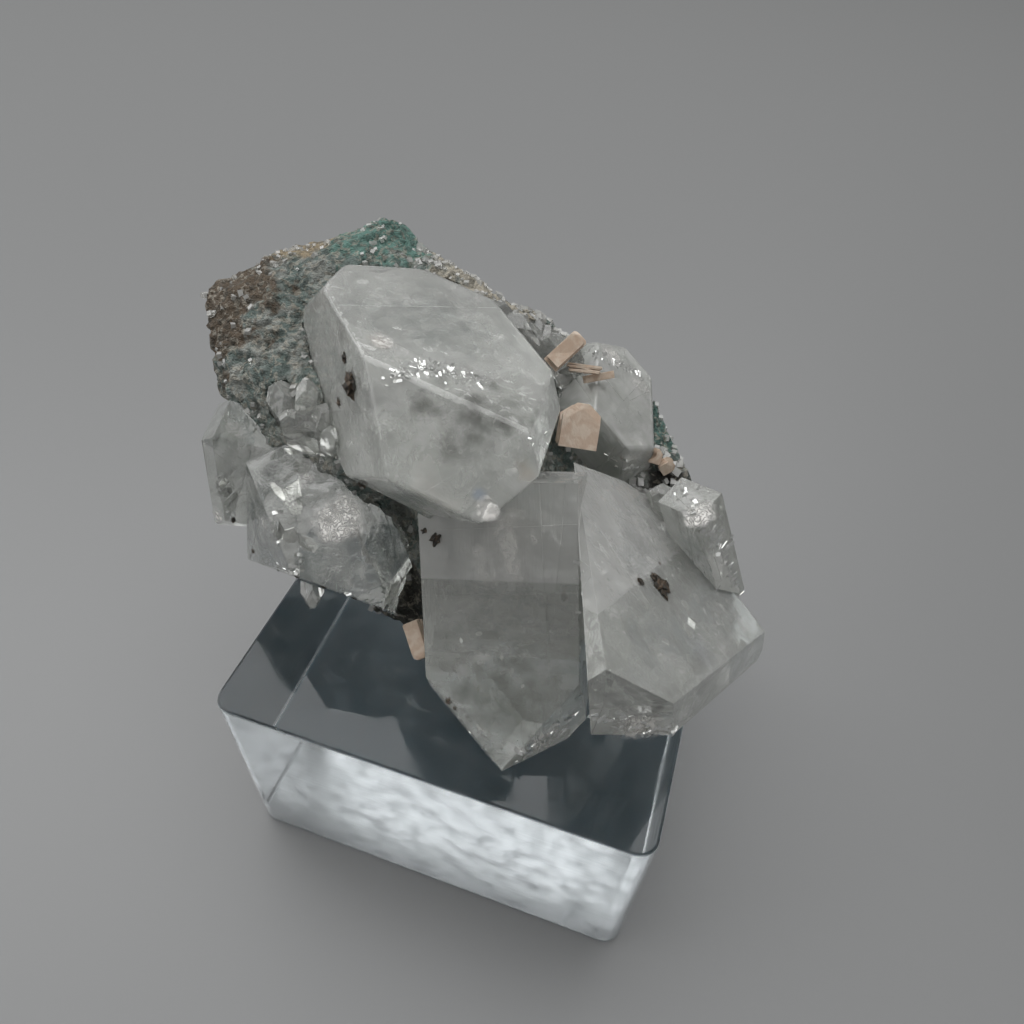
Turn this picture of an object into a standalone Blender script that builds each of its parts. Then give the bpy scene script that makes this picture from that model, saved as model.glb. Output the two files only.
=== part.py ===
"""Apophyllite specimen resting on a clear acrylic block. Metres, +Z up, origin under the block's middle."""

import math
import random
from collections import namedtuple

import bmesh
import bpy
from mathutils import Matrix, Vector, noise

MM = 0.001

# The clear block
BLOCK_WIDTH = 60 * MM
BLOCK_HEIGHT = 35 * MM
BLOCK_CORNER_RADIUS = 2.7 * MM
BLOCK_CORNER_SEGMENTS = 6

# Pieces that touch keep this gap, so that each stays a solid of its own
GAP = 0.3 * MM
REST_HEIGHT = BLOCK_HEIGHT + GAP

# A crystal is cut from a cube of this size, face by face
ROUGH_CUBE = 160 * MM
PYRAMID_TILT = math.radians(60.4)

# One crystal. heart: a point on its axis, in mm. axis: azimuth and elevation of the direction in which it
# points, in degrees. turn: its prism's turn about that axis, in degrees. The rest are in mm from the heart:
# sides: the four prism faces. tips: where the four pyramid faces would meet the axis. base: the flat face
# across the point, if the crystal has one. root: how far it reaches back. breaks: broken faces near the root,
# each as the azimuth and elevation it faces and its distance.
Habit = namedtuple("Habit", "heart axis turn sides tips base root breaks", defaults=[()])

MAIN_BREAKS = (
    ((-145, 0), 15.2), ((-141, -5), 14.4), ((180, 43), 20.2), ((106, 60), 16.9), ((72, 53), 14.5),
)
MAIN = Habit(
    (-5.3, -3.7, 70.2), (-46, 0), 169, (9.9, 10.9, 11.4, 7.3), (20.3, 17.4, 13.3, 23.8), None, 27.0, MAIN_BREAKS
)
FRONT = Habit(
    (7.9, -15.3, 44.5), (-66, -55), 108, (3.9, 4.4, 11.1, 8.1), (19.9, 15.7, 13.5, 20.9), None, 23.5
)
RIGHT_BREAKS = (((80, 46), 13.7), ((-162, -8), 14.0))
RIGHT = Habit(
    (27.2, -1.9, 45.2), (20, -40), 88, (3.7, 7.0, 19.5, 14.1), (15.0, 18.8, 15.6, 16.0), None, 24.0, RIGHT_BREAKS
)
LEFT = Habit((-23.0, -4.6, 46.0), (-76, 58), 165, (11.2, 11.9, 8.0, 9.9), (21.1, 29.1, 32.4, 18.9), 11.4, 6.0)
FAR_LEFT = Habit((-35.7, -5.5, 56.9), (-58, 53), -11, (6.8, 2.9, 7.1, 8.7), (9.0, 7.6, 11.6, 10.8), None, 7.7)
BACK_RIGHT = Habit(
    (10.6, 18.5, 58.1), (-79, 39), -87, (9.8, 11.0, 5.2, 8.5), (14.8, 12.0, 6.5, 15.0), None, 8.5
)
SIDE = Habit((28.8, 7.5, 49.9), (12, -68), -140, (4.5, 0.4, 4.2, 2.1), (8.9, 11.4, 9.8, 10.9), None, 11.4)

# The small crystals: heart, axis and turn, then half the width, the tip's and the root's distance
SmallCrystal = namedtuple("SmallCrystal", "heart axis turn half tip root")
SMALL_BLUNTNESS = 0.55
LEFT_DRUSE = [
    SmallCrystal((-25.2, -2.4, 66.8), (101, 61), 104, 1.3, 2.6, 3.5),
    SmallCrystal((-26.6, -3.7, 63.3), (-149, 57), 51, 2.0, 2.4, 3.5),
    SmallCrystal((-23.7, -2.3, 63.8), (2, 74), -173, 2.2, 2.6, 3.5),
    SmallCrystal((-20.9, -3.7, 63.1), (-53, 57), -113, 1.9, 2.4, 3.5),
    SmallCrystal((-29.9, -0.6, 64.3), (163, 57), 71, 2.1, 2.4, 3.5),
]
# The crusts of small crystals: the ends of each band and how far its crystals stray from it, in mm, how they
# face, and how many there are
Crust = namedtuple("Crust", "start end stray facing spread count half seed")
RIDGE_CRUST = [
    Crust((-14.0, 27.5, 66.6), (1.0, 25.0, 62.6), (0.3, 0.3, 0.5), (110, 60), 30, 8, 2.2, 3),
    Crust((-9.0, 23.8, 67.0), (2.0, 21.5, 64.2), (0.3, 0.3, 0.5), (150, 70), 35, 6, 2.0, 5),
]
CRUST_SIZES = (0.8, 1.15)
CRUST_TIP = 0.9
CRUST_ROOT = 2.6
BACK_DRUSE = [Crust((-24.0, 32.0, 62.0), (2.0, 31.0, 52.0), (1.5, 0.4, 3.2), (90, 25), 32, 13, 2.5, 7)]
POCKET = SmallCrystal((19.3, 9.2, 54.5), (-138, 54), 37, 1.9, 2.2, 3.5)
SEAM = SmallCrystal((-21.2, -15.2, 44.5), (-64, -19), 127, 1.1, 1.6, 3.0)

# The stilbite pieces are flat blades: half the thickness and half the width are given apart
Blade = namedtuple("Blade", "heart axis turn half_thick half_wide tip root")
STILBITE_BLADE = Blade((2.6, 17.2, 68.9), (49, 34), 126, 0.7, 1.2, 3.4, 3.0)
STILBITE_SLIVERS = [
    Blade((5.5, 17.0, 66.6), (10, 1), 133, 0.5, 0.5, 2.8, 2.6),
    Blade((7.5, 17.8, 65.4), (21, 13), 144, 0.5, 0.5, 2.4, 2.4),
]
STILBITE_CHUNK = Blade((7.1, 7.9, 64.7), (98, 49), 108, 1.6, 2.5, 3.4, 3.0)
STILBITE_GRAINS = [
    Blade((16.9, 15.3, 56.5), (81, 53), 128, 0.8, 0.9, 1.2, 1.2),
    Blade((19.0, 15.7, 54.9), (25, 34), 166, 0.8, 0.9, 1.2, 1.2),
]
STILBITE_TOOTH = Blade((-5.9, -15.4, 41.9), (-45, -31), 124, 1.0, 1.2, 2.9, 3.0)
BLADE_TIP_TILT = math.radians(48)
BLADE_BLUNTNESS = 0.8

# The matrix: the corners of its rough block, in mm: the upper left end, the top edge, the top behind the
# main crystal, the right end, the front behind the crystals, the seam under the left ones, and the underside
MATRIX_CORNERS = [
    (-49.5, 9.5, 69), (-46, 6, 66), (-43, 3, 62), (-38, 0, 60), (-47.5, 17, 70),
    (-44, 20, 70.5), (-37.5, 27, 72), (-30, 31.5, 74), (-22.5, 32, 71), (-12.5, 30.5, 67), (1.5, 28, 62.5),
    (-38, 12, 72), (-30, 20, 75), (-18, 24, 73.5), (-9, 24, 69), (-4, 20, 62),
    (15.5, 26, 58), (20.5, 19.5, 54), (24, 14, 51), (22, 8, 50),
    (-30, 0, 66), (-10, -8, 60), (8, 2, 53), (0, -10, 50), (12, -8, 48), (25, 5, 48), (27, -3, 42),
    (-27, -11, 50), (-20, -12, 44.5), (-15.5, -12, 41), (-10, -11, 37.5),
    (-13, -7, 34), (12, -5, 34), (17, 14, 34), (-10, 20, 34), (-38, 18, 56), (-18, 32, 56),
    (8, 31, 54), (12, 30, 46), (16, 27, 50),
]
# Lumps on it: middle and radius, in mm
MATRIX_LUMPS = [((-27.5, 27.5, 71.5), 4.5), ((-45, 14, 66.5), 4.5), ((-35, 20, 69.5), 4.5),
                ((6, 25, 58), 4.5), ((-30, 30, 62), 5.0), ((-6, 29, 51), 5.5), ((-24, 22, 50), 6.0)]
# Pits in it: middle and radius, in mm. The last seven open the clefts beside the left and the back crystals
MATRIX_PITS = [
    ((20, 13, 53), 3.2), ((-33, 10, 69), 3.0), ((-41, 16, 69.5), 2.4), ((-8, 30, 58), 3.5),
    ((-14, -9, 56), 7.5), ((-10.8, -10.2, 50.5), 6.5), ((-10.2, -10.9, 44.5), 4.5),
    ((10, 10.5, 57.3), 8.0), ((5, 13, 59.5), 5.0), ((3.2, 19, 62.3), 4.5), ((8, 13.5, 54), 5.0),
]
PIT_STEEPNESS = 0.9
MATRIX_GRAIN = 2.1 * MM
LUMP_HEIGHT = 1.1 * MM
LUMP_SPACING = 9 * MM
LEDGE_HEIGHT = 0.7 * MM
LEDGE_SPACING = 3.4 * MM
BROAD_LEDGES = 2.2
FINE_LEDGES = 0.6
LEDGE_STEPS = 2.5


def clear_scene():
    for obj in list(bpy.data.objects):
        bpy.data.objects.remove(obj, do_unlink=True)


def material(name, colour, roughness, transmission=0.0, ior=1.5):
    """A plain material in the piece's own colour."""
    made = bpy.data.materials.get(name) or bpy.data.materials.new(name)
    made.use_nodes = True
    shader = made.node_tree.nodes["Principled BSDF"]
    shader.inputs["Base Color"].default_value = (*colour, 1)
    shader.inputs["Roughness"].default_value = roughness
    shader.inputs["Metallic"].default_value = 0
    shader.inputs["Transmission Weight"].default_value = transmission
    shader.inputs["IOR"].default_value = ior
    return made


def add_object(name, bm, finish):
    mesh = bpy.data.meshes.new(name)
    bmesh.ops.recalc_face_normals(bm, faces=bm.faces)
    bm.to_mesh(mesh)
    bm.free()
    obj = bpy.data.objects.new(name, mesh)
    bpy.context.scene.collection.objects.link(obj)
    mesh.materials.append(finish)
    return obj


def hide_tool(obj):
    """Mark an object as one that only shapes others."""
    obj.hide_render = True
    obj.display_type = "WIRE"
    return obj


def cut_off(bm, point, normal):
    """Cut away all that lies beyond a plane, and close the cut with a flat face."""
    geometry = bm.verts[:] + bm.edges[:] + bm.faces[:]
    cut = bmesh.ops.bisect_plane(
        bm, geom=geometry, dist=1e-7, plane_co=point, plane_no=normal, clear_outer=True
    )
    edges = [part for part in cut["geom_cut"] if isinstance(part, bmesh.types.BMEdge)]
    if edges:
        bmesh.ops.edgeloop_fill(bm, edges=edges)


def direction(angles):
    """The unit vector of an azimuth and an elevation in degrees."""
    azimuth, elevation = (math.radians(angle) for angle in angles)
    level = math.cos(elevation)
    return Vector((level * math.cos(azimuth), level * math.sin(azimuth), math.sin(elevation)))


def crystal_frame(axis, turn):
    """The directions of a prism's two pairs of sides and of its point."""
    point = direction(axis)
    across = Vector((0, 0, 1)).cross(point).normalized()
    side = Matrix.Rotation(math.radians(turn), 3, point) @ across
    return side, point.cross(side), point


def crystal_faces(habit, tilt=PYRAMID_TILT):
    """Each face of a crystal as its outward direction and its distance from the heart."""
    side, other, point = crystal_frame(habit.axis, habit.turn)
    faces = list(zip((side, -side, other, -other), habit.sides))
    corners = ((1, 1), (1, -1), (-1, 1), (-1, -1))
    for (first, second), tip in zip(corners, habit.tips):
        slant = (side * first + other * second).normalized()
        faces.append((slant * math.sin(tilt) + point * math.cos(tilt), tip * math.cos(tilt)))
    if habit.base is not None:
        faces.append((point, habit.base))
    faces.append((-point, habit.root))
    for facing, distance in habit.breaks:
        faces.append((direction(facing), distance))
    return faces


def crystal_mesh(habit, grow=0.0, tilt=PYRAMID_TILT):
    """A crystal cut from a cube. grow moves every face out, in metres, for a cutter that leaves a gap."""
    heart = Vector(habit.heart) * MM
    bm = bmesh.new()
    bmesh.ops.create_cube(bm, size=ROUGH_CUBE, matrix=Matrix.Translation(heart))
    for outward, distance in crystal_faces(habit, tilt):
        cut_off(bm, heart + outward * (distance * MM + grow), outward)
    return bm


def small_habit(small):
    """The full habit of a small crystal: a square prism with an even point, blunt at its tip."""
    even_tip = small.tip + SMALL_BLUNTNESS * small.half
    return Habit(small.heart, small.axis, small.turn, (small.half,) * 4, (even_tip,) * 4, small.tip, small.root)


def blade_habit(blade):
    sides = (blade.half_thick, blade.half_thick, blade.half_wide, blade.half_wide)
    base = blade.tip * BLADE_BLUNTNESS
    return Habit(blade.heart, blade.axis, blade.turn, sides, (blade.tip,) * 4, base, blade.root)


def evaluated_mesh(obj):
    """The object's mesh with its modifiers applied, as a bmesh that holds only its largest body."""
    graph = bpy.context.evaluated_depsgraph_get()
    mesh = bpy.data.meshes.new_from_object(obj.evaluated_get(graph))
    bm = bmesh.new()
    bm.from_mesh(mesh)
    bpy.data.meshes.remove(mesh)
    keep_largest_body(bm)
    return bm


def bodies_of(bm):
    """The vertices of each separate body in a mesh."""
    left = set(bm.verts)
    while left:
        body = {left.pop()}
        edge_of_search = list(body)
        while edge_of_search:
            vert = edge_of_search.pop()
            for edge in vert.link_edges:
                neighbour = edge.other_vert(vert)
                if neighbour in left:
                    left.discard(neighbour)
                    body.add(neighbour)
                    edge_of_search.append(neighbour)
        yield body


def keep_largest_body(bm):
    """Of bodies with equally many points, the highest is kept, so that every run gives the same result."""
    bodies = sorted(bodies_of(bm), key=lambda body: (len(body), max(vert.co.z for vert in body)))
    crumbs = [vert for body in bodies[:-1] for vert in body]
    bmesh.ops.delete(bm, geom=crumbs, context="VERTS")


def combine(obj, other, operation):
    change = obj.modifiers.new(operation.title(), "BOOLEAN")
    change.operation = operation
    change.solver = "EXACT"
    change.object = other


def grown_together(name, meshes, finish):
    """One solid from crystals that overlap."""
    first, *rest = meshes
    whole = add_object(name, first, finish)
    for number, mesh in enumerate(rest):
        member = hide_tool(add_object(f"{name}_member_{number}", mesh, finish))
        combine(whole, member, "UNION")
    return finished(whole)


def finished(obj):
    """Apply an object's modifiers and drop any crumb that they cut loose."""
    bm = evaluated_mesh(obj)
    bm.to_mesh(obj.data)
    bm.free()
    obj.modifiers.clear()
    return obj


def make_room(obj, cutters):
    """Cut an object back from the pieces that grew before it."""
    for cutter in cutters:
        combine(obj, cutter, "DIFFERENCE")
    return finished(obj)


def flat_where_it_rests(obj):
    bm = bmesh.new()
    bm.from_mesh(obj.data)
    cut_off(bm, Vector((0, 0, REST_HEIGHT)), Vector((0, 0, -1)))
    bmesh.ops.recalc_face_normals(bm, faces=bm.faces)
    bm.to_mesh(obj.data)
    bm.free()
    return obj


def build_block(finish):
    """The clear block: a cube with its four upright edges rounded."""
    bm = bmesh.new()
    bmesh.ops.create_cube(bm, size=1)
    bmesh.ops.scale(bm, vec=(BLOCK_WIDTH, BLOCK_WIDTH, BLOCK_HEIGHT), verts=bm.verts)
    bmesh.ops.translate(bm, vec=(0, 0, BLOCK_HEIGHT / 2), verts=bm.verts)
    upright = [edge for edge in bm.edges if abs(edge.verts[0].co.z - edge.verts[1].co.z) > BLOCK_HEIGHT / 2]
    bmesh.ops.bevel(
        bm, geom=upright, offset=BLOCK_CORNER_RADIUS, segments=BLOCK_CORNER_SEGMENTS,
        profile=0.5, affect="EDGES", material=-1,
    )
    return add_object("display_block", bm, finish)


def rough_matrix_mesh():
    """The matrix's block and its lumps, still as separate shapes in one mesh."""
    bm = bmesh.new()
    for corner in MATRIX_CORNERS:
        bm.verts.new(Vector(corner) * MM)
    hull = bmesh.ops.convex_hull(bm, input=bm.verts)
    inside = [part for part in hull["geom_interior"] if isinstance(part, bmesh.types.BMVert)]
    bmesh.ops.delete(bm, geom=inside, context="VERTS")
    for middle, radius in MATRIX_LUMPS:
        place = Matrix.Translation(Vector(middle) * MM)
        bmesh.ops.create_icosphere(bm, subdivisions=2, radius=radius * MM, matrix=place)
    return bm


def ledge(point):
    """How far the rock stands out in steps, as broken rock does."""
    broad = noise.noise(point / (BROAD_LEDGES * LEDGE_SPACING))
    height = broad + FINE_LEDGES * noise.noise(point / LEDGE_SPACING)
    return round(height * LEDGE_STEPS) / LEDGE_STEPS


def roughen(bm):
    """Move the matrix's points out and in: broad lumps, steps, and the pits."""
    bm.normal_update()
    for vert in bm.verts:
        lump = noise.noise(vert.co / LUMP_SPACING) * LUMP_HEIGHT
        move = lump + ledge(vert.co) * LEDGE_HEIGHT
        for middle, radius in MATRIX_PITS:
            nearness = 1 - (vert.co - Vector(middle) * MM).length / (radius * MM)
            move -= max(nearness, 0) * radius * MM * PIT_STEEPNESS
        vert.co += vert.normal * move


def build_matrix(finish, cutters):
    matrix = add_object("matrix", rough_matrix_mesh(), finish)
    remesh = matrix.modifiers.new("One skin", "REMESH")
    remesh.mode = "VOXEL"
    remesh.voxel_size = MATRIX_GRAIN
    bm = evaluated_mesh(matrix)
    roughen(bm)
    bmesh.ops.triangulate(bm, faces=bm.faces)
    bm.to_mesh(matrix.data)
    bm.free()
    matrix.modifiers.clear()
    flat_where_it_rests(matrix)
    return make_room(matrix, cutters)


def crust_crystals(rows):
    """Small crystals along each row of a crust, turned at random and close enough to overlap."""
    made = []
    for row in rows:
        chance = random.Random(row.seed)
        start, end = Vector(row.start), Vector(row.end)
        for number in range(row.count):
            heart = start.lerp(end, number / (row.count - 1))
            heart += Vector([chance.uniform(-reach, reach) for reach in row.stray])
            axis = tuple(angle + chance.uniform(-row.spread, row.spread) for angle in row.facing)
            half = row.half * chance.uniform(*CRUST_SIZES)
            turn = chance.uniform(0, 90)
            made.append(SmallCrystal(heart, axis, turn, half, half * CRUST_TIP, half * CRUST_ROOT))
    return made


def meshes_of(smalls, grow=0.0):
    return [crystal_mesh(small_habit(small), grow) for small in smalls]


def blade_meshes(blades, grow=0.0):
    return [crystal_mesh(blade_habit(blade), grow, BLADE_TIP_TILT) for blade in blades]


def cutter_of(name, meshes):
    """A hidden copy of a piece, grown by the gap."""
    return hide_tool(grown_together(f"{name}_room", meshes, material("tool", (0.5, 0.5, 0.5), 0.5)))


def build_specimen():
    clear = material("apophyllite", (0.78, 0.8, 0.77), 0.12, 0.85, 1.535)
    peach = material("stilbite", (0.62, 0.4, 0.26), 0.45)
    rock = material("matrix_rock", (0.16, 0.2, 0.17), 0.85)
    room = []

    def place(name, make, habits, finish):
        """Model a piece from its crystals, cut it back from the earlier ones, and keep room for it."""
        made = grown_together(name, make(habits), finish)
        flat_where_it_rests(made)
        make_room(made, room)
        room.append(cutter_of(name, make(habits, GAP)))
        return made

    def large(habits, grow=0.0):
        return [crystal_mesh(habit, grow) for habit in habits]

    place("main_crystal", large, [MAIN], clear)
    place("front_crystals", large, [FRONT, RIGHT], clear)
    place("left_crystals", large, [LEFT, FAR_LEFT], clear)
    place("back_right_crystal", large, [BACK_RIGHT], clear)
    place("side_crystal", large, [SIDE], clear)
    place("stilbite_chunk", blade_meshes, [STILBITE_CHUNK], peach)
    place("stilbite_blade", blade_meshes, [STILBITE_BLADE], peach)
    for number, sliver in enumerate(STILBITE_SLIVERS):
        place(f"stilbite_sliver_{number + 1}", blade_meshes, [sliver], peach)
    place("stilbite_tooth", blade_meshes, [STILBITE_TOOTH], peach)
    for number, grain in enumerate(STILBITE_GRAINS):
        place(f"stilbite_grain_{number + 1}", blade_meshes, [grain], peach)
    place("pocket_crystal", meshes_of, [POCKET], clear)
    place("seam_crystal", meshes_of, [SEAM], clear)
    place("left_druse", meshes_of, LEFT_DRUSE, clear)
    place("ridge_crust", meshes_of, crust_crystals(RIDGE_CRUST), clear)
    place("back_druse", meshes_of, crust_crystals(BACK_DRUSE), clear)
    build_matrix(rock, room)


clear_scene()
build_block(material("clear_acrylic", (0.9, 0.94, 0.96), 0.05, 0.95, 1.49))
build_specimen()
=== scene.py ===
# %% [markdown]
# # An apophyllite specimen on a clear block
# The object is a hand-sized cluster of glassy crystals on a piece of rock, resting on a block of clear
# acrylic. The solid model gives every piece its place and its outline. This lesson dresses those pieces:
# worn edges, growth steps, inclusions, rough rock, and a material for each.
# One could paint the solids alone, but flat faces with razor edges never look like a mineral, so each
# piece gets a finer mesh that stands exactly where its solid stands.

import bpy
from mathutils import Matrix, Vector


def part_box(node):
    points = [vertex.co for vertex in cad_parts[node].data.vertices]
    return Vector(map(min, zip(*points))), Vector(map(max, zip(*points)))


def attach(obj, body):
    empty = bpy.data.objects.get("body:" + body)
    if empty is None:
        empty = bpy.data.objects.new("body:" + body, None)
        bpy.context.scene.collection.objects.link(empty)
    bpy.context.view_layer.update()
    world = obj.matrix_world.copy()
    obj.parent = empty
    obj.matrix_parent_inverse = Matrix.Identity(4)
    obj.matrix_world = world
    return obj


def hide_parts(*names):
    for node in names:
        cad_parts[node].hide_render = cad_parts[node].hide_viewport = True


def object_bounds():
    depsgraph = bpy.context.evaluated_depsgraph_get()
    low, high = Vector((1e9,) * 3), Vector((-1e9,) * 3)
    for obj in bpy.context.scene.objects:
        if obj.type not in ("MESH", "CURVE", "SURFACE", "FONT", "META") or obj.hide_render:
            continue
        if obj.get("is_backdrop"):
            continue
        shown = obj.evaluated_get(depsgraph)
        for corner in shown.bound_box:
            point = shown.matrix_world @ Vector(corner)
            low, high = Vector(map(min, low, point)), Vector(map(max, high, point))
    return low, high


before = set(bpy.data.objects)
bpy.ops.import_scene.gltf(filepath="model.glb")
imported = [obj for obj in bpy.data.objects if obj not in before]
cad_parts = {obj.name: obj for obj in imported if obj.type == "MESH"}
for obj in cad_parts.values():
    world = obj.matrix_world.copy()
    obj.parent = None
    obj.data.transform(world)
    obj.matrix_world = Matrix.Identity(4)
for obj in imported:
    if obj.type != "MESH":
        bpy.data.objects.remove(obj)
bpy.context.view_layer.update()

# %% Modules and units
import math
import random
from collections import namedtuple

import bmesh
import bpy
from mathutils import Matrix, Vector, noise
from mathutils.bvhtree import BVHTree

MM = 0.001
BLOCK_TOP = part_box("display_block")[1].z
print("block top, mm:", round(BLOCK_TOP / MM, 2))

# %% [markdown]
# ## The camera
# The photograph looks down on the corner of the block from close by, with the wide lens of a phone.
# A camera could be placed by eye. Here its place and turn were worked out from the block's eight corners,
# because a wide lens so close changes every proportion when it moves by a few millimetres.

# %% Camera
PHOTO_SIZE = 1024
FOCAL_PIXELS = 779.06
SENSOR_WIDTH = 36
CAMERA_PLACE = Vector((21.338, -67.459, 128.594)) * MM
CAMERA_TURN = math.radians(16.4825)
CAMERA_DOWN = math.radians(46.5732)
CAMERA_ROLL = math.radians(3.0042)

camera_matrix = (
    Matrix.Translation(CAMERA_PLACE)
    @ Matrix.Rotation(CAMERA_TURN, 4, "Z")
    @ Matrix.Rotation(math.pi / 2 - CAMERA_DOWN, 4, "X")
    @ Matrix.Rotation(CAMERA_ROLL, 4, "Z")
)
camera = bpy.data.objects.new("camera", bpy.data.cameras.new("camera"))
bpy.context.scene.collection.objects.link(camera)
camera.matrix_world = camera_matrix
camera.data.sensor_fit = "HORIZONTAL"
camera.data.sensor_width = SENSOR_WIDTH
camera.data.lens = FOCAL_PIXELS / PHOTO_SIZE * SENSOR_WIDTH
camera.data.clip_start = 5 * MM
bpy.context.scene.camera = camera
print("lens, mm:", round(camera.data.lens, 2))

# %% [markdown]
# ## Working on copies of the solids
# A solid comes in as loose triangles. A copy is merged, and its coplanar triangles are dissolved into the
# crystal's real faces, because bevels and insets need whole faces to work on. The same copy also answers
# the question "where on this crystal does the camera see this pixel?", which places the small marks.

# %% Copies, and points seen on them
FLAT_WITHIN = math.radians(0.6)
MERGE_WITHIN = 2e-6


def solid_copy(name):
    """A merged bmesh of a solid, with each flat face in one piece."""
    bm = bmesh.new()
    bm.from_mesh(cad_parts[name].data)
    bmesh.ops.remove_doubles(bm, verts=bm.verts, dist=MERGE_WITHIN)
    bmesh.ops.dissolve_limit(bm, angle_limit=FLAT_WITHIN, verts=bm.verts, edges=bm.edges)
    return bm


def skin_of(name):
    bm = solid_copy(name)
    tree = BVHTree.FromBMesh(bm)
    bm.free()
    return tree


skins = {name: skin_of(name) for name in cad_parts}


def seen_on(name, pixel):
    """The place on a solid that the camera sees at a pixel of the photograph, and the face's direction."""
    across = (pixel[0] - PHOTO_SIZE / 2) / FOCAL_PIXELS
    down = (pixel[1] - PHOTO_SIZE / 2) / FOCAL_PIXELS
    ray = (camera_matrix.to_3x3() @ Vector((across, -down, -1))).normalized()
    place, outward, _, _ = skins[name].ray_cast(CAMERA_PLACE, ray)
    if place is None:
        middle = sum(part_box(name), Vector()) / 2
        place, outward, _, _ = skins[name].find_nearest(CAMERA_PLACE + ray * (middle - CAMERA_PLACE).length)
    return place, outward


print("solids:", len(skins))

# %% Adding a finished piece
def add_piece(name, bm, finish, replaces=()):
    """Put a bmesh into the scene as a piece of the specimen, in place of the solids that it replaces."""
    bmesh.ops.recalc_face_normals(bm, faces=bm.faces)
    mesh = bpy.data.meshes.new(name)
    bm.to_mesh(mesh)
    bm.free()
    piece = bpy.data.objects.new(name, mesh)
    bpy.context.scene.collection.objects.link(piece)
    for material in finish if isinstance(finish, (list, tuple)) else [finish]:
        mesh.materials.append(material)
    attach(piece, "root")
    if replaces:
        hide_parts(*replaces)
    print(f"{name}: {len(mesh.polygons)} faces")
    return piece


def direction(azimuth, elevation):
    """A unit vector from two angles in degrees."""
    azimuth, elevation = math.radians(azimuth), math.radians(elevation)
    level = math.cos(elevation)
    return Vector((level * math.cos(azimuth), level * math.sin(azimuth), math.sin(elevation)))


def facing_matrix(place, outward, spin=0.0):
    """The matrix that lays something flat at a place, with its own Z along the outward direction."""
    turn = outward.to_track_quat("Z", "Y").to_matrix().to_4x4()
    return Matrix.Translation(place) @ turn @ Matrix.Rotation(spin, 4, "Z")


print("straight up:", [round(part, 3) for part in direction(0, 90)])

# %% [markdown]
# ## Building materials from parts
# Every finish here is made of a few effects that come back again and again: ragged spots, growth lines and
# bands, clouds, grains. Each is built once as a node group and placed with its own values. One short helper
# makes a node, sets it up and links it, so that a material reads as a list of what it is made of.

# %% Node helpers
def make(tree, kind, inputs=None, **settings):
    """A shader node. An input is given by name or number, as a value or as another node's socket."""
    made = tree.nodes.new("ShaderNode" + kind)
    for name, value in settings.items():
        setattr(made, name, value)
    for name, value in (inputs or {}).items():
        if isinstance(value, bpy.types.NodeSocket):
            tree.links.new(value, made.inputs[name])
        else:
            made.inputs[name].default_value = value
    return made


def new_group(name, inputs, outputs):
    """An empty node group, its inputs' sockets and its output node's sockets."""
    tree = bpy.data.node_groups.new(name, "ShaderNodeTree")
    for label, (kind, value) in inputs.items():
        socket = tree.interface.new_socket(label, in_out="INPUT", socket_type="NodeSocket" + kind)
        socket.default_value = value
    for label, kind in outputs.items():
        tree.interface.new_socket(label, in_out="OUTPUT", socket_type="NodeSocket" + kind)
    print(f"{name}: takes {', '.join(inputs)}, and gives {', '.join(outputs)}")
    return tree, tree.nodes.new("NodeGroupInput").outputs, tree.nodes.new("NodeGroupOutput").inputs


def use_group(tree, group, **inputs):
    made = tree.nodes.new("ShaderNodeGroup")
    made.node_tree = group
    for name, value in inputs.items():
        socket = made.inputs[name.replace("_", " ").capitalize()]
        if isinstance(value, bpy.types.NodeSocket):
            tree.links.new(value, socket)
        else:
            socket.default_value = value
    return made.outputs


def mixed(tree, share, first, second):
    """Two colours mixed by a mask."""
    made = make(tree, "Mix", data_type="RGBA")
    for number, value in ((0, share), (6, first), (7, second)):
        if isinstance(value, bpy.types.NodeSocket):
            tree.links.new(value, made.inputs[number])
        else:
            made.inputs[number].default_value = value
    return made.outputs[2]


def ramp(tree, value, low, high, to_low=0.0, to_high=1.0):
    """A value stretched from one range to another, with soft ends."""
    limits = {"Value": value, "From Min": low, "From Max": high, "To Min": to_low, "To Max": to_high}
    return make(tree, "MapRange", limits, interpolation_type="SMOOTHSTEP").outputs["Result"]


def maths(tree, operation, first, second=0.0):
    return make(tree, "Math", {0: first, 1: second}, operation=operation).outputs[0]


def position(tree):
    """Where on the object a point is, so that a pattern goes right through a piece."""
    return make(tree, "TexCoord").outputs["Object"]


def noise_of(tree, where, scale, detail, **more):
    return make(tree, "TexNoise", {"Vector": where, "Scale": scale, "Detail": detail, **more}).outputs["Fac"]


def scaled(tree, vector, amount):
    return make(tree, "VectorMath", {0: vector, "Scale": amount}, operation="SCALE").outputs["Vector"]


def bumped(tree, height, strength, distance, **more):
    """A normal that follows a height. Another normal may be given, to lay this height over it."""
    shape = {"Strength": strength, "Distance": distance, "Height": height, **more}
    return make(tree, "Bump", shape).outputs["Normal"]


def vector_maths(tree, operation, first, second):
    return make(tree, "VectorMath", {0: first, 1: second}, operation=operation).outputs


helpers = (make, use_group, mixed, ramp, maths, vector_maths, scaled, position, noise_of, bumped)
print("node helpers:", [helper.__name__ for helper in helpers])

# %% Node group: a ragged spot round a place
# A spot is a distance from a point, disturbed by noise so that its edge is never a circle. The noise comes
# in from outside, so that a material with a dozen spots works it out only once.
PER_MM = 1000.0


def unrest(tree):
    """The noise that disturbs the spots of a material."""
    return noise_of(tree, position(tree), 0.45 * PER_MM, 4.0)


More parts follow.
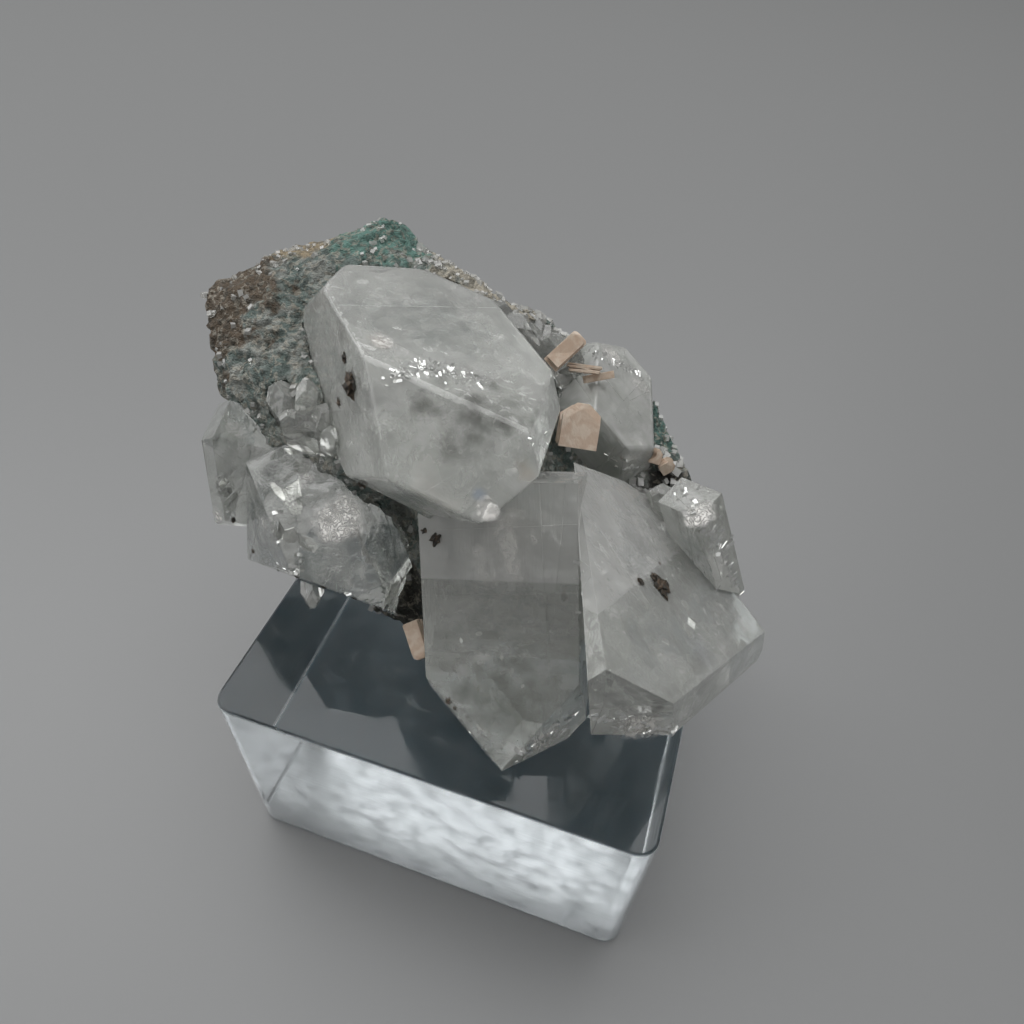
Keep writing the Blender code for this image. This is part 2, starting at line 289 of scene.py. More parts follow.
spot_group, taken, given = new_group(
    "Ragged spot",
    {
        "Place": ("Vector", (0, 0, 0)), "Radius": ("Float", 0.005), "Ragged": ("Float", 0.5),
        "Core": ("Float", 0.75), "Unrest": ("Float", 0.5),
    },
    {"Mask": "Float"},
)
place_here = position(spot_group)
away = vector_maths(spot_group, "DISTANCE", place_here, taken["Place"])["Value"]
wander = maths(spot_group, "MULTIPLY", maths(spot_group, "SUBTRACT", taken["Unrest"], 0.5), taken["Ragged"])
near = maths(spot_group, "ADD", maths(spot_group, "DIVIDE", away, taken["Radius"]), wander)
spot_group.links.new(ramp(spot_group, near, taken["Core"], 1.1, 1.0, 0.0), given["Mask"])

# %% Node group: growth lines
# A crystal's sides carry fine lines along its point. Taking away the part of a position that runs along
# the point leaves noise that is drawn out into lines on every side at once.
lines_group, taken, given = new_group(
    "Growth lines",
    {"Along": ("Vector", (0, 0, 1)), "Fineness": ("Float", 2200.0)},
    {"Height": "Float"},
)
place_here = position(lines_group)
how_far = vector_maths(lines_group, "DOT_PRODUCT", place_here, taken["Along"])["Value"]
along = scaled(lines_group, taken["Along"], how_far)
across = vector_maths(lines_group, "SUBTRACT", place_here, along)["Vector"]
slight = scaled(lines_group, along, 0.06)
drawn = vector_maths(lines_group, "ADD", across, slight)["Vector"]
lines = noise_of(lines_group, drawn, taken["Fineness"], 2.0)
broad = noise_of(lines_group, place_here, 0.25 * PER_MM, 0.0)
strong = ramp(lines_group, broad, 0.42, 0.62)
lines_group.links.new(maths(lines_group, "MULTIPLY", lines, strong), given["Height"])

# %% Node group: growth bands
# Growth also leaves bands across the point, of clearer and cloudier crystal. The part of a position that
# runs along the point is the only thing that this noise sees, but for a slight waver.
bands_group, taken, given = new_group(
    "Growth bands",
    {"Along": ("Vector", (0, 0, 1)), "Fineness": ("Float", 500.0)},
    {"Mask": "Float"},
)
place_here = position(bands_group)
how_far = vector_maths(bands_group, "DOT_PRODUCT", place_here, taken["Along"])["Value"]
along = scaled(bands_group, taken["Along"], how_far)
waver = scaled(bands_group, place_here, 0.07)
drawn = vector_maths(bands_group, "ADD", along, waver)["Vector"]
bands = noise_of(bands_group, drawn, taken["Fineness"], 3.0)
bands_group.links.new(ramp(bands_group, bands, 0.42, 0.62), given["Mask"])

# %% Node group: clouds
# Milky veils inside a crystal: stretched, folded noise, kept to part of the crystal.
cloud_group, taken, given = new_group(
    "Clouds",
    {"Size": ("Float", 300.0), "Low": ("Float", 0.5), "High": ("Float", 0.75)},
    {"Mask": "Float"},
)
place_here = position(cloud_group)
folds = noise_of(cloud_group, place_here, taken["Size"], 3.5, Distortion=0.8)
limits = {"Value": folds, "From Min": taken["Low"], "From Max": taken["High"]}
veil = make(cloud_group, "MapRange", limits, interpolation_type="SMOOTHSTEP").outputs["Result"]
cloud_group.links.new(veil, given["Mask"])

# %% Node group: grains
# Broken rock is a mass of grains: cells of uneven size that each catch the light in their own way.
grain_group, taken, given = new_group(
    "Grains",
    {"Fineness": ("Float", 1500.0)},
    {"Height": "Float", "Shine": "Float", "Tone": "Float"},
)
place_here = position(grain_group)
cells = make(grain_group, "TexVoronoi", {"Vector": place_here, "Scale": taken["Fineness"], "Randomness": 1.0})
dust = noise_of(grain_group, place_here, 4.0 * PER_MM, 4.0)
raised = maths(grain_group, "SUBTRACT", dust, cells.outputs["Distance"])
split = make(grain_group, "SeparateColor", {"Color": cells.outputs["Color"]}).outputs
grain_group.links.new(raised, given["Height"])
grain_group.links.new(split["Red"], given["Shine"])
grain_group.links.new(split["Green"], given["Tone"])

# %% [markdown]
# ## The clear block
# A sawn and polished block of acrylic. It keeps the faint ripple of the saw and cloudy wear, its underside
# is left rough, and its edges have a narrow polished chamfer, which is what draws the bright outline.
# A new box could be drawn, but the solid is right already but for that chamfer, so a copy gets a bevel.

# %% Block finish
ACRYLIC_IOR = 1.49


def new_material(name):
    """A material, its node tree and its Principled shader."""
    material = bpy.data.materials.new(name)
    material.use_nodes = True
    return material, material.node_tree, material.node_tree.nodes["Principled BSDF"]


def connect(tree, shader, **sockets):
    """Feed values or sockets into a shader, with underscores for the spaces in the sockets' names."""
    for name, value in sockets.items():
        socket = shader.inputs[name.replace("_", " ")]
        if isinstance(value, bpy.types.NodeSocket):
            tree.links.new(value, socket)
        else:
            socket.default_value = value


def absorb(tree, colour, density):
    """Let light fade inside a clear piece."""
    output = tree.nodes["Material Output"]
    volume = make(tree, "VolumeAbsorption", {"Color": (*colour, 1), "Density": density})
    tree.links.new(volume.outputs["Volume"], output.inputs["Volume"])


def acrylic(name, polish, wear, tint=(0.93, 0.96, 0.98)):
    """Clear acrylic whose roughness goes from one value on clean parts to another on worn ones."""
    material, tree, shader = new_material(name)
    here = position(tree)
    stretched = make(tree, "Mapping", {"Vector": here, "Scale": (90.0, 90.0, 1400.0)}).outputs["Vector"]
    sawn = noise_of(tree, stretched, 1.0, 3.0, Distortion=0.4)
    wavy = noise_of(tree, here, 60.0, 1.0)
    worn = noise_of(tree, here, 240.0, 3.0)
    height = maths(tree, "ADD", maths(tree, "MULTIPLY", sawn, 0.35), wavy)
    bump = bumped(tree, height, 0.35, 0.25 * MM)
    connect(
        tree, shader, Base_Color=(*tint, 1), Metallic=0.0, Transmission_Weight=1.0, IOR=ACRYLIC_IOR,
        Roughness=ramp(tree, worn, 0.35, 0.8, polish, wear), Normal=bump,
    )
    absorb(tree, (0.84, 0.92, 0.95), 5.0)
    return material


clear_acrylic = acrylic("clear_acrylic", 0.02, 0.16)
sawn_acrylic = acrylic("sawn_acrylic", 0.35, 0.6, (0.7, 0.71, 0.72))
print("block finishes:", clear_acrylic.name, sawn_acrylic.name)

# %% Block piece
CHAMFER = 0.35 * MM
SHARP_FROM = math.radians(40)


def sharp_edges(bm, angle=SHARP_FROM):
    return [edge for edge in bm.edges if len(edge.link_faces) == 2 and edge.calc_face_angle() > angle]


def soften(bm, width, segments=2, angle=SHARP_FROM):
    """Wear a narrow bevel into every sharp edge."""
    bmesh.ops.bevel(
        bm, geom=sharp_edges(bm, angle), offset=width, segments=segments, profile=0.5,
        affect="EDGES", clamp_overlap=True, material=-1,
    )


block_bm = solid_copy("display_block")
soften(block_bm, CHAMFER)
for face in block_bm.faces:
    face.material_index = 1 if face.normal.z < -0.9 else 0
add_piece("clear_block", block_bm, [clear_acrylic, sawn_acrylic], ["display_block"])

# %% [markdown]
# ## The large crystals
# Apophyllite grows as square columns with a four-sided point. Its faces are glassy but never perfect: they
# carry low terraces where growth stopped, fine lines along the column, and worn edges. Inside it is clear
# with milky veils. Subsurface light could give the milkiness, but plain transmission with a little
# diffuse grey is close to it and keeps the inclusions inside in sight.

# %% Crystal finish
APOPHYLLITE_IOR = 1.535
CLEAR_TINT = (0.84, 0.855, 0.82)
VEIL_WHITE = (0.97, 0.97, 0.95, 1)
BAND_GREY = (0.5, 0.51, 0.47, 1)
ZONE_EDGE = 0.15 * MM


def beyond(tree, place, along):
    """A mask that is 1 on the root's side of a plane through a place."""
    how_far = vector_maths(tree, "DOT_PRODUCT", position(tree), along)["Value"]
    edge = place.dot(along)
    return ramp(tree, how_far, edge - ZONE_EDGE, edge + ZONE_EDGE, 1.0, 0.0)


def apophyllite(
    name, point, milk, line_depth=0.5, frost=0.14, tint=CLEAR_TINT, node=None, zones=(), shades=(), bands=0.0,
    absorbs=True,
):
    """Clear crystal with veils, growth lines along its point, and slightly frosted patches.

    zones and shades place cloudier, darker and lighter parts of the crystal, some of them painted light and
    shade, by what the camera sees on its node.
    """
    material, tree, shader = new_material(name)
    veils = use_group(tree, cloud_group, size=230.0, low=0.42, high=0.7)["Mask"]
    frosted = use_group(tree, cloud_group, size=800.0, low=0.42, high=0.75)["Mask"]
    lines = use_group(tree, lines_group, along=point, fineness=2600.0)["Height"]
    uneven = noise_of(tree, position(tree), 260.0, 2.0)
    low_hills = bumped(tree, uneven, 0.5, 0.7 * MM)
    bump = bumped(tree, lines, line_depth, 0.15 * MM, Normal=low_hills)
    colour = mixed(tree, veils, (*tint, 1), VEIL_WHITE)
    if bands:
        across = use_group(tree, bands_group, along=point, fineness=420.0)["Mask"]
        colour = mixed(tree, maths(tree, "MULTIPLY", across, bands), colour, BAND_GREY)
    for zone in zones:
        mask = beyond(tree, seen_on(node, zone.pixel)[0], zone.along)
        colour = mixed(tree, maths(tree, "MULTIPLY", mask, zone.share), colour, zone.colour)
    stir = unrest(tree) if shades else None
    for shade in shades:
        place, wide = seen_on(node, shade.pixel)[0], shade.radius * MM
        spot = use_group(tree, spot_group, place=place, radius=wide, ragged=2.6, core=-0.3, unrest=stir)
        colour = mixed(tree, maths(tree, "MULTIPLY", spot["Mask"], shade.share), colour, shade.colour)
    connect(
        tree, shader, Base_Color=colour, Metallic=0.0, Transmission_Weight=1 - milk, IOR=APOPHYLLITE_IOR,
        Roughness=ramp(tree, frosted, 0.0, 1.0, 0.04, frost), Normal=bump,
    )
    if absorbs:
        absorb(tree, (0.82, 0.86, 0.83), 12.0)
    return material


print("apophyllite bends light by", APOPHYLLITE_IOR)

# %% Growth steps on the faces
# Each large face is cut along and across the crystal's point, and each part is raised or sunk a little, so
# that its border catches the light as one fine line.
STEPPED_FACE = 14 * MM * MM
STEPPED_PART = 1.5 * MM * MM
STEP = 0.055 * MM
STEP_SLOPE = 0.04 * MM
CUT_REACH = 0.3
ALONG_CHANCE = 0.6
CUT_TURN = 7


def growth_steps(bm, point, cuts, chance):
    for face in [face for face in bm.faces if face.calc_area() > STEPPED_FACE]:
        outward, centre = face.normal.copy(), face.calc_center_median()
        reach = CUT_REACH * math.sqrt(face.calc_area())
        parts = [face]
        for _ in range(cuts):
            along = point if chance.random() < ALONG_CHANCE else outward.cross(point)
            turned = Matrix.Rotation(math.radians(chance.gauss(0, CUT_TURN)), 3, outward) @ along
            aside = outward.cross(turned).normalized()
            if aside.length < 0.5:
                continue
            where = centre + aside * chance.uniform(-reach, reach)
            geometry = dict.fromkeys(item for part in parts for item in (part, *part.edges, *part.verts))
            split = bmesh.ops.bisect_plane(bm, geom=list(geometry), plane_co=where, plane_no=aside)["geom"]
            parts = [item for item in split if isinstance(item, bmesh.types.BMFace)]
            parts.sort(key=lambda part: part.calc_center_median()[:])
        for part in parts:
            if part.calc_area() > STEPPED_PART:
                depth = STEP * chance.uniform(-1, 1)
                bmesh.ops.inset_individual(
                    bm, faces=[part], thickness=STEP_SLOPE, depth=depth, use_even_offset=True
                )


print("growth steps, mm:", STEP / MM)

# %% Cloudier zones, tinted shades, and painted light and shade
MAIN, FRONT, LEFT = "main_crystal", "front_crystals", "left_crystals"
BACK, SIDE = "back_right_crystal", "side_crystal"
Zone = namedtuple("Zone", "pixel along share colour")
# This white is a real milky growth zone on the front crystal, and painted light on the main crystal's upper
# part.
MILK_AND_PAINTED_LIGHT, SMOKY = (1.0, 1.0, 0.98, 1), (0.6, 0.61, 0.585, 1)
ZONES = {
    # Painted light: the main crystal is whiter on the root's side of this plane, so that its upper part looks
    # lit.
    MAIN: [Zone((420, 380), direction(-46, 0), 0.3, MILK_AND_PAINTED_LIGHT)],
    FRONT: [
        Zone((500, 656), direction(-66, -55), 0.35, SMOKY),
        Zone((500, 581), direction(-66, -55), 1.0, MILK_AND_PAINTED_LIGHT),
    ],
}
Shade = namedtuple("Shade", "pixel radius share colour")
# PAINTED_GLINT_BLUE is a painted glint, not a colour of the crystal.
DARK, PEACH, PAINTED_GLINT_BLUE = (0.2, 0.2, 0.185, 1), (0.85, 0.66, 0.5, 1), (0.45, 0.6, 0.85, 1)
SHADES = {
    MAIN: [
        Shade((425, 406), 1.9, 0.85, DARK),
        Shade((443, 381), 1.5, 0.5, DARK),
        Shade((466, 367), 1.6, 0.4, DARK),
        Shade((494, 384), 1.9, 0.8, DARK),
        Shade((474, 401), 2.1, 0.85, DARK),
        Shade((475, 424), 2.1, 0.85, DARK),
        Shade((502, 422), 2.2, 0.85, DARK),
        Shade((451, 447), 2.2, 0.7, DARK),
        Shade((530, 421), 1.9, 0.7, DARK),
        Shade((520, 396), 2.4, 0.3, DARK),
        Shade((480, 415), 6.0, 0.5, DARK),
        # Painted shade: a broad grey spot dims the main crystal's upward top face.
        Shade((430, 320), 12.0, 0.7, (0.55, 0.58, 0.56, 1)),
        # Painted highlight: a near-white spot on the main crystal's bright lower-left bevel.
        Shade((430, 500), 5.0, 0.6, (1.0, 0.97, 0.92, 1)),
        Shade((380, 341), 2.0, 0.35, PEACH),
        Shade((526, 473), 1.4, 0.4, PEACH),
        # Painted glint: a small blue spot where the main crystal flashes blue.
        Shade((478, 495), 0.9, 0.5, PAINTED_GLINT_BLUE),
    ],
    FRONT: [
        Shade((640, 560), 6.0, 0.35, (0.62, 0.64, 0.66, 1)),
        Shade((700, 650), 4.0, 0.3, (0.7, 0.72, 0.8, 1)),
        Shade((640, 728), 3.5, 0.3, (0.85, 0.74, 0.68, 1)),
        Shade((500, 615), 7.0, 0.45, (0.55, 0.57, 0.54, 1)),
        Shade((500, 705), 11.0, 0.95, (0.4, 0.41, 0.37, 1)),
        Shade((545, 680), 6.0, 0.5, (0.6, 0.6, 0.55, 1)),
    ],
    LEFT: [
        Shade((390, 540), 4.5, 0.5, (0.45, 0.45, 0.43, 1)),
        Shade((270, 480), 5.0, 0.8, (0.45, 0.45, 0.43, 1)),
        Shade((330, 520), 8.0, 0.55, (0.5, 0.5, 0.48, 1)),
        Shade((285, 462), 4.5, 0.75, (0.4, 0.4, 0.38, 1)),
        Shade((290, 545), 2.5, 0.5, (0.45, 0.45, 0.43, 1)),
        Shade((330, 575), 3.0, 0.4, (0.5, 0.47, 0.44, 1)),
    ],
    BACK: [
        Shade((615, 455), 3.5, 0.25, (0.7, 0.62, 0.58, 1)),
        Shade((622, 458), 0.8, 0.6, (0.4, 0.2, 0.17, 1)),
    ],
}
print("zones and shades:", sum(map(len, ZONES.values())), sum(map(len, SHADES.values())))

# %% Crystal pieces
Growth = namedtuple("Growth", "node finish point milk lines cuts wear bands")
GROWTHS = [
    Growth(MAIN, "main_apophyllite", direction(-46, 0), 0.28, 0.3, 1, 1.9, 0.1),
    Growth(FRONT, "front_apophyllite", direction(-66, -55), 0.29, 0.4, 4, 0.35, 0.3),
    Growth(LEFT, "left_apophyllite", direction(-76, 58), 0.12, 0.8, 5, 0.15, 0.25),
    Growth(BACK, "back_apophyllite", direction(-79, 39), 0.33, 0.5, 4, 0.5, 0.15),
    Growth(SIDE, "side_apophyllite", direction(12, -68), 0.24, 1.0, 5, 0.2, 0.2),
]
WEAR_CUTS = 4
WEAR_FROM = math.radians(12)

for number, growth in enumerate(GROWTHS):
    crystal = solid_copy(growth.node)
    soften(crystal, growth.wear * MM, segments=WEAR_CUTS, angle=WEAR_FROM)
    growth_steps(crystal, growth.point, growth.cuts, random.Random(number))
    finish = apophyllite(
        growth.finish, growth.point, growth.milk, growth.lines, node=growth.node,
        zones=ZONES.get(growth.node, ()), shades=SHADES.get(growth.node, ()), bands=growth.bands,
    )
    add_piece(growth.finish + "_crystal", crystal, finish, [growth.node])

# %% [markdown]
# ## What is inside the crystals
# A clear crystal looks empty and false without its inside. These have flat milky layers, where growth
# paused or a cleavage opened, and dark specks of rock. A layer is the crystal's own cross-section: the solid
# is cut with a plane, only the cut is kept, and it is filled, crumpled a little and given a thickness.

# %% Milky layers
Layer = namedtuple("Layer", "node pixel depth facing")
ALONG_B = direction(-66, -55)
LAYERS = [
    Layer(MAIN, (400, 340), 5.0, None),
    Layer(MAIN, (400, 450), 4.0, None),
    Layer(MAIN, (330, 430), 3.5, None),
    Layer(FRONT, (500, 581), 0.5, ALONG_B),
    Layer(FRONT, (500, 656), 0.5, ALONG_B),
    Layer(FRONT, (660, 620), 4.0, None),
    Layer(LEFT, (300, 540), 4.5, None),
    Layer(BACK, (620, 400), 3.0, None),
    Layer(SIDE, (705, 520), 2.0, None),
]
LAYER_SHARE = 0.93
LAYER_CRUMPLE = 0.22 * MM
LAYER_FOLDS = 0.3 * PER_MM
LAYER_THICKNESS = 0.05 * MM
LAYER_CUTS = 7


def milky_layer(bm, layer):
    """Add the crystal's cross-section at a place that the camera sees, as a thin crumpled sheet."""
    surface, outward = seen_on(layer.node, layer.pixel)
    place = surface - outward * layer.depth * MM
    facing = layer.facing or outward
    cut = solid_copy(layer.node)
    bmesh.ops.bisect_plane(
        cut, geom=cut.verts[:] + cut.edges[:] + cut.faces[:], plane_co=place, plane_no=facing,
        clear_inner=True, clear_outer=True,
    )
    bmesh.ops.triangle_fill(cut, edges=cut.edges, use_beauty=True)
    bmesh.ops.subdivide_edges(cut, edges=cut.edges, cuts=LAYER_CUTS, use_grid_fill=True)
    middle = sum((vert.co for vert in cut.verts), Vector()) / max(1, len(cut.verts))
    for vert in cut.verts:
        fold = noise.noise(vert.co * LAYER_FOLDS) * LAYER_CRUMPLE
        vert.co = middle.lerp(vert.co, LAYER_SHARE) + facing * fold
    bmesh.ops.solidify(cut, geom=cut.faces, thickness=LAYER_THICKNESS)
    sheet = bpy.data.meshes.new("sheet")
    cut.to_mesh(sheet)
    cut.free()
    bm.from_mesh(sheet)
    bpy.data.meshes.remove(sheet)


def veil_finish():
    """White where growth paused, and nothing at all between the clouds."""
    material, tree, shader = new_material("milky_veil")
    clouds = use_group(tree, cloud_group, size=190.0, low=0.4, high=0.72)["Mask"]
    wisps = use_group(tree, cloud_group, size=900.0, low=0.5, high=0.75)["Mask"]
    share = maths(tree, "ADD", maths(tree, "MULTIPLY", clouds, 0.4), maths(tree, "MULTIPLY", wisps, 0.3))
    connect(tree, shader, Base_Color=(0.86, 0.87, 0.85, 1), Metallic=0.0, Roughness=0.5, Alpha=share)
    return material


layers_bm = bmesh.new()
for layer in LAYERS:
    milky_layer(layers_bm, layer)
add_piece("milky_layers", layers_bm, veil_finish())

# %% Dark specks
Speck = namedtuple("Speck", "node pixel size spin depth")
SPECKS = [
    Speck(MAIN, (352, 384), (2.6, 2.7), 8, 0.0),
    Speck(MAIN, (345, 358), (1.1, 1.0), -20, 0.0),
    Speck(MAIN, (315, 376), (1.2, 1.1), 0, 0.0),
    Speck(MAIN, (339, 402), (1.2, 0.8), 0, 0.0),
    Speck(MAIN, (308, 350), (0.5, 0.7), 0, 0.0),
    Speck(MAIN, (362, 492), (1.5, 1.1), 30, 0.0),
    Speck(FRONT, (436, 539), (1.3, 1.6), -20, 0.05),
    Speck(FRONT, (424, 531), (0.7, 0.6), 0, 0.05),
    Speck(FRONT, (564, 597), (0.6, 1.0), 10, 0.4),
    Speck(FRONT, (449, 701), (0.9, 0.8), -30, 0.05),
    Speck(FRONT, (455, 708), (0.5, 0.5), 0, 0.05),
    Speck(FRONT, (660, 588), (2.4, 2.4), 10, -0.1),
    Speck(FRONT, (655, 580), (1.5, 1.5), 0, -0.1),
    Speck(FRONT, (640, 582), (1.0, 1.0), 0, 0.0),
    Speck(FRONT, (660, 563), (0.5, 0.4), 0, 0.1),
    Speck(LEFT, (239, 527), (0.6, 0.9), 0, 0.0),
    Speck(LEFT, (253, 551), (0.5, 0.5), 0, 0.0),
    Speck(LEFT, (296, 580), (0.9, 0.5), 30, 0.0),
    Speck(LEFT, (322, 592), (1.0, 0.6), 15, 0.0),
    Speck(LEFT, (352, 603), (0.9, 0.5), 0, 0.0),
    Speck(LEFT, (402, 596), (0.7, 1.0), 0, 0.0),
]
SPECK_FLATNESS = 0.6
SPECK_RAGGED = 0.9
SPECK_DENTS = 4


def add_speck(bm, speck, number):
    """Add a ragged, flattened crumb at or just under the place that the camera sees."""
    surface, outward = seen_on(speck.node, speck.pixel)
    turn = facing_matrix(surface - outward * speck.depth * MM, outward, math.radians(speck.spin))
    made = bmesh.ops.create_icosphere(bm, subdivisions=3, radius=0.5)["verts"]
    wide, tall = speck.size[0] * MM, speck.size[1] * MM
    shape = turn @ Matrix.Diagonal((wide, tall, SPECK_FLATNESS * min(wide, tall), 1))
    for vert in made:
        dent = noise.noise(vert.co * SPECK_DENTS + Vector((number, 0, 0)))
        vert.co = shape @ (vert.co * (1 + SPECK_RAGGED * dent))


def speck_finish():
    material, tree, shader = new_material("dark_speck")
    tones = use_group(tree, cloud_group, size=1500.0, low=0.4, high=0.65)["Mask"]
    colour = mixed(tree, tones, (0.02, 0.018, 0.014, 1), (0.09, 0.062, 0.04, 1))
    connect(tree, shader, Base_Color=colour, Metallic=0.0, Roughness=0.6)
    return material


specks_bm = bmesh.new()
for number, speck in enumerate(SPECKS):
    add_speck(specks_bm, speck, number)
add_piece("dark_specks", specks_bm, speck_finish())

# %% [markdown]
# ## Etched ledges and cracks
# On the main crystal a ledge is etched into dozens of glittering steps, and inside each crystal cracks show
# as small bright mirrors. Both are many small flat slabs, turned almost the same way: what makes them glitter
# is that almost. A bump texture could suggest them, but its sparks never move as those of real facets do.

# %% Etched ledges
Ledge = namedtuple("Ledge", "node start end spread count size lean")
LEDGES = [
    Ledge(MAIN, (388, 378), (424, 370), 7, 34, 0.5, 24),
    Ledge(MAIN, (412, 364), (484, 380), 9, 120, 0.55, 26),
    Ledge(MAIN, (540, 430), (545, 460), 8, 14, 0.4, 20),
    Ledge(FRONT, (508, 770), (578, 712), 6, 42, 0.8, 20),
    Ledge(FRONT, (592, 715), (680, 735), 7, 46, 0.9, 20),
    Ledge(FRONT, (430, 690), (500, 770), 3, 22, 0.5, 12),
    Ledge(FRONT, (640, 530), (730, 610), 26, 24, 0.6, 10),
    Ledge(FRONT, (580, 560), (582, 700), 4, 26, 0.6, 12),
    Ledge(LEFT, (262, 562), (300, 575), 5, 26, 0.6, 20),
    Ledge(LEFT, (250, 500), (300, 570), 12, 10, 0.7, 22),
    Ledge(LEFT, (225, 415), (300, 440), 8, 30, 0.6, 16),
    Ledge(LEFT, (330, 590), (400, 612), 4, 24, 0.6, 16),
    Ledge(BACK, (590, 350), (640, 375), 5, 44, 0.7, 22),
    Ledge(BACK, (575, 440), (650, 480), 8, 34, 0.7, 18),
    Ledge(SIDE, (682, 490), (722, 548), 12, 60, 0.8, 12),
    Ledge(SIDE, (722, 545), (740, 600), 5, 22, 0.7, 14),
]
SLAB = (1.3, 0.5, 0.16)
SLAB_SPIN = 0.35
SLAB_SUNK = 0.04 * MM


def add_slab(bm, place, outward, size, lean, chance):
    """Add one small flat block that leans a little from the face under it."""
    turn = facing_matrix(place, outward, chance.gauss(0, SLAB_SPIN))
    turn @= Matrix.Rotation(math.radians(chance.gauss(0, lean)), 4, "X")
    turn @= Matrix.Rotation(math.radians(chance.gauss(0, lean)), 4, "Y")
    grown = size * MM * chance.uniform(0.5, 1.3)
    scale = Matrix.Diagonal((*(grown * side * chance.uniform(0.7, 1.3) for side in SLAB), 1))
    bmesh.ops.create_cube(bm, size=1.0, matrix=turn @ scale)


def add_ledge(bm, ledge, chance):
    for _ in range(ledge.count):
        share = chance.random()
        pixel = [
            start + (end - start) * share + chance.gauss(0, ledge.spread / 2)
            for start, end in zip(ledge.start, ledge.end)
        ]
        place, outward = seen_on(ledge.node, pixel)
        add_slab(bm, place - outward * SLAB_SUNK, outward, ledge.size, ledge.lean, chance)


print("slabs on ledges:", sum(ledge.count for ledge in LEDGES))


# %% Glinting finish
def glint_finish():
    """Facets that look silvery, because light inside them is thrown back whole."""
    material, tree, shader = new_material("glinting_facets")
    veils = use_group(tree, cloud_group, size=1200.0, low=0.4, high=0.7)["Mask"]
    colour = mixed(tree, veils, (0.86, 0.87, 0.85, 1), (0.98, 0.98, 0.97, 1))
    connect(
        tree, shader, Base_Color=colour, Metallic=0.6, Transmission_Weight=0.6, IOR=APOPHYLLITE_IOR,
        Roughness=0.12,
    )
    return material


glinting_facets = glint_finish()
print("finish of ledges and cracks:", glinting_facets.name)

# %% Cracks
Fracture = namedtuple("Fracture", "node pixel spread count size deepest")
FRACTURES = [
    Fracture(LEFT, (285, 490), 30, 8, 3.4, 1.2),
    Fracture(LEFT, (280, 540), 30, 10, 3.0, 1.2),
    Fracture(LEFT, (225, 490), 14, 12, 1.6, 1.2),
    Fracture(MAIN, (490, 460), 34, 6, 1.4, 1.2),
    Fracture(FRONT, (500, 660), 34, 12, 1.6, 1.2),
    Fracture(FRONT, (690, 620), 34, 14, 1.8, 1.2),
    Fracture(BACK, (610, 390), 18, 12, 1.5, 1.0),
    Fracture(SIDE, (705, 520), 12, 10, 1.2, 0.8),
]
FRACTURE_THICKNESS = 0.03 * MM
FRACTURE_TILT = 0.35
SHALLOWEST = 0.4


def add_fractures(bm, fracture, chance):
    """Scatter thin, strongly tilted facets under a face, like the mirrors that cracks make in a crystal."""
    for _ in range(fracture.count):
        pixel = [middle + chance.gauss(0, fracture.spread / 2) for middle in fracture.pixel]
        place, outward = seen_on(fracture.node, pixel)
        deep = chance.uniform(SHALLOWEST, fracture.deepest) * MM
        turn = facing_matrix(place - outward * deep, outward, chance.uniform(0, math.pi))
        turn @= Matrix.Rotation(chance.gauss(0, FRACTURE_TILT), 4, "X")
        wide = fracture.size * MM * chance.uniform(0.2, 0.6)
        scale = Matrix.Diagonal((wide, wide * chance.uniform(0.3, 1.0), FRACTURE_THICKNESS, 1))
        bmesh.ops.create_cone(
            bm, cap_ends=True, segments=chance.choice((4, 5, 6)), radius1=1.0, radius2=0.9, depth=1.0,
            matrix=turn @ scale,
        )


slabs_bm = bmesh.new()
chance = random.Random(11)
for ledge in LEDGES:
    add_ledge(slabs_bm, ledge, chance)
for fracture in FRACTURES:
    add_fractures(slabs_bm, fracture, chance)
add_piece("etched_ledges", slabs_bm, glinting_facets)

# %% [markdown]
# ## Pearly patches
# Where a crystal has begun to split along its base, a film of air shows as a pearly patch with contour lines.
# The film could lie inside the clear solid, where it really is, but little light reaches it there and it
# renders grey. So each patch is a thin disc laid on the face, with a ragged edge and clear between its flaws.
# The cleavage films are real, but their brightness is partly painted sheen: the discs' white colour stands in
# for the films' reflection.

# %% Where the pearly patches are
Pearl = namedtuple("Pearl", "node pixel radius shine contours")
PEARLS = [
    Pearl(LEFT, (338, 520), 4.0, 0.95, 150),
    Pearl(LEFT, (306, 478), 1.2, 0.35, 90),
    Pearl(LEFT, (264, 522), 1.3, 0.4, 90),
    Pearl(LEFT, (218, 515), 1.1, 0.9, 60),
    Pearl(LEFT, (236, 430), 2.2, 0.2, 90),
    Pearl(SIDE, (700, 515), 2.6, 0.7, 90),
    Pearl(MAIN, (383, 341), 1.9, 0.45, 60),
    Pearl(MAIN, (487, 510), 1.6, 0.6, 40),
    Pearl(MAIN, (420, 505), 1.8, 0.35, 40),
    # Painted sheen: this faint patch lightens the front crystal's upper part.
    Pearl(FRONT, (505, 552), 5.5, 0.36, 12),
    Pearl(FRONT, (545, 738), 3.6, 0.5, 90),
    Pearl(FRONT, (640, 728), 3.4, 0.55, 90),
    Pearl(BACK, (612, 356), 2.6, 0.5, 90),
    Pearl(BACK, (640, 385), 2.2, 0.2, 90),
]
FILM_HEIGHT = 0.07 * MM
FILM_THICKNESS = 0.03 * MM
FILM_SIDES = 48
FILM_COVER = 0.85
print("pearly patches:", len(PEARLS))


